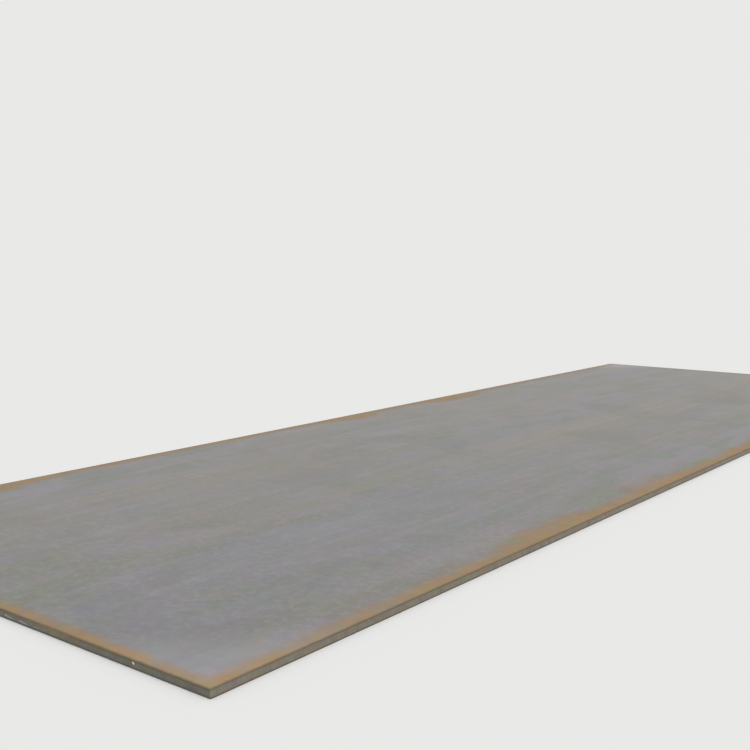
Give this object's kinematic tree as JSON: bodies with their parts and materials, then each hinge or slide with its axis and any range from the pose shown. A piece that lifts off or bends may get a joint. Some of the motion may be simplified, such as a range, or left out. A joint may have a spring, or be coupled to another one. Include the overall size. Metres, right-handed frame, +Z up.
{
  "type": "steel plate",
  "caption": "Flat hot-rolled steel plate with sheared edges, drawn-down top arrises and blade bites along its cut ends.",
  "frame": {"origin": "centre of the underside", "axes": "+X along the length, +Y across the width, +Z up out of the top face, where the plate lies flat"},
  "size_m": [6, 2, 0.02],
  "materials": {
    "hot_rolled_steel": "satin blue-grey mill scale, with an orange-tan rust rim along the edges and sheared edges in dull brown-grey"
  },
  "bodies": {
    "root": {"steel_plate": "hot_rolled_steel"}
  },
  "joints": []
}
